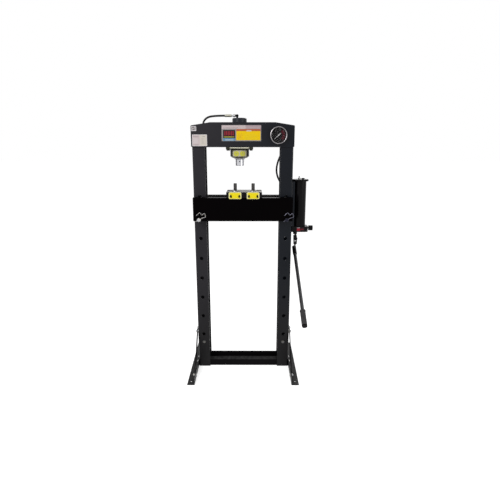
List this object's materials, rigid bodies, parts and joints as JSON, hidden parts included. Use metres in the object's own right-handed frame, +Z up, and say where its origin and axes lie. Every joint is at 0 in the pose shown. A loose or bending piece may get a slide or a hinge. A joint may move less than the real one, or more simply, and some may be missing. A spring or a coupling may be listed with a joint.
{
  "type": "hydraulic press",
  "caption": "Floor-standing H-frame hydraulic press with a hand pump and hose on one side, a gauge on the head, and a bed on two pins.",
  "frame": {"origin": "on the floor, in the middle of the four floor bolt holes", "axes": "+X to the right and +Z up, with the front at -Y"},
  "size_m": [0.929, 1.0184, 1.9214],
  "materials": {
    "frame_paint": "semi-gloss",
    "bed_paint": "semi-gloss",
    "pump_paint": "gloss",
    "zinc": "zinc plated",
    "steel": "ground",
    "chrome": "polished",
    "brass": "satin",
    "yellow_paint": "semi-gloss",
    "black_plastic": "matte",
    "dial_face": "matte",
    "clear_window": "clear",
    "hose_rubber": "satin",
    "seal_rubber": "matte"
  },
  "bodies": {
    "frame": {"left_post": "frame_paint", "right_post": "frame_paint", "head_front": "frame_paint", "head_rear": "frame_paint", "head_lower_plate": "frame_paint", "head_upper_plate": "frame_paint", "cross_rails": "frame_paint", "left_foot": "frame_paint", "right_foot": "frame_paint", "braces": "frame_paint", "pump_bracket": "frame_paint", "mounting_flange": "bed_paint", "cylinder_body": "bed_paint", "ring_nut": "bed_paint", "oil_tank": "pump_paint", "tank_lid": "pump_paint", "pump_base": "pump_paint", "frame_bolts": "zinc", "brace_spacers": "zinc", "flange_bolts": "zinc", "tie_rod_nut": "zinc", "lever_pin": "zinc", "hose_ends": "zinc", "return_spring": "steel", "gauge_pipe": "steel", "gland": "chrome", "gauge_bezel": "chrome", "gauge_stem": "brass", "filler_plug": "black_plastic", "gauge_case": "black_plastic", "hose_elbows": "black_plastic", "gauge_dial": "dial_face", "gauge_window": "clear_window", "hose": "hose_rubber", "ram_wiper": "seal_rubber"},
    "ram": {"ram": "chrome", "piston": "steel", "piston_seal": "seal_rubber", "spring_pin": "steel", "saddle": "chrome", "saddle_set_screw": "zinc"},
    "bed": {"bed_front": "bed_paint", "bed_rear": "bed_paint", "bed_spacers": "zinc", "arbor_plates": "bed_paint", "keeper_plates": "yellow_paint", "keeper_screws": "zinc", "lifting_pegs": "steel"},
    "left_pin": {"left_bed_pin": "zinc", "left_pin_clip": "zinc"},
    "right_pin": {"right_bed_pin": "zinc", "right_pin_clip": "zinc"},
    "lever": {"lever": "pump_paint", "handle_tube": "zinc", "handle_grip": "black_plastic", "handle_cap": "black_plastic"},
    "plunger": {"plunger": "steel", "plunger_pin": "zinc"},
    "release_valve": {"release_knob": "black_plastic"},
    "pointer": {"gauge_pointer": "dial_face"}
  },
  "joints": [
    {"name": "ram_slide", "type": "slide", "parent": "frame", "child": "ram", "axis": [0, 0, -1], "range_m": [0, 0.15], "stiffness_N_per_m": 1500, "springref_m": -0.2, "deforming": ["return_spring"]},
    {"name": "bed_lift", "type": "slide", "parent": "frame", "child": "bed", "axis": [0, 0, 1], "range_m": [0, 0.02]},
    {"name": "left_pin_slide", "type": "slide", "parent": "frame", "child": "left_pin", "axis": [0, -1, 0], "range_m": [0, 0.27]},
    {"name": "right_pin_slide", "type": "slide", "parent": "frame", "child": "right_pin", "axis": [0, -1, 0], "range_m": [0, 0.27]},
    {"name": "pump_lever", "type": "hinge", "parent": "frame", "child": "lever", "pos_m": [0.388, -0.03, 1.036], "axis": [-1, 0, 0], "range_deg": [0, 60]},
    {"name": "plunger_slide", "type": "slide", "parent": "frame", "child": "plunger", "axis": [0, 0, -1], "range_m": [0, 0.028]},
    {"name": "release_turn", "type": "hinge", "parent": "frame", "child": "release_valve", "pos_m": [0.49, 0, 1.112], "axis": [1, 0, 0], "range_deg": [0, 360]},
    {"name": "pointer_turn", "type": "hinge", "parent": "frame", "child": "pointer", "pos_m": [0.248, -0.09, 1.776], "axis": [0, 1, 0], "range_deg": [0, 270]}
  ],
  "couplings": [
    {"joint": "plunger_slide", "follows": "pump_lever", "m_per_rad": 0.0264}
  ]
}
